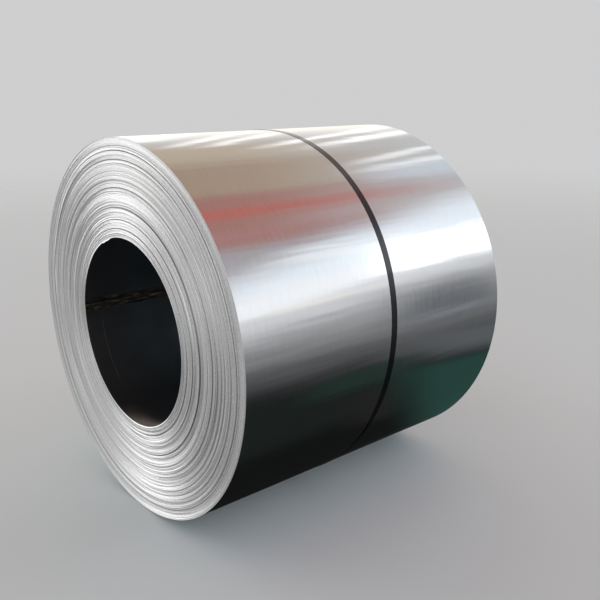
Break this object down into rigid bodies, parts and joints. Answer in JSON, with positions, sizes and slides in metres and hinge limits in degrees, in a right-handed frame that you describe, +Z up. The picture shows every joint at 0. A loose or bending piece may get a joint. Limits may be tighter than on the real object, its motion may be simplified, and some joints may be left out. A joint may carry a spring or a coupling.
{
  "type": "steel coil",
  "caption": "Coil of bright steel strip lying on its side, with a round eye through it and one steel strap around it.",
  "frame": {"origin": "on the floor, midway between the coil's two ends and straight below its axis", "axes": "+Y along the axis of the eye, away from the near end, and +Z up"},
  "size_m": [1.0177, 0.9182, 1.0178],
  "materials": {
    "strip": "bright rolled",
    "strapping": "black waxed",
    "seal": "zinc plated"
  },
  "bodies": {
    "root": {"coil": "strip", "strap": "strapping", "strap_seal": "seal"}
  },
  "joints": []
}
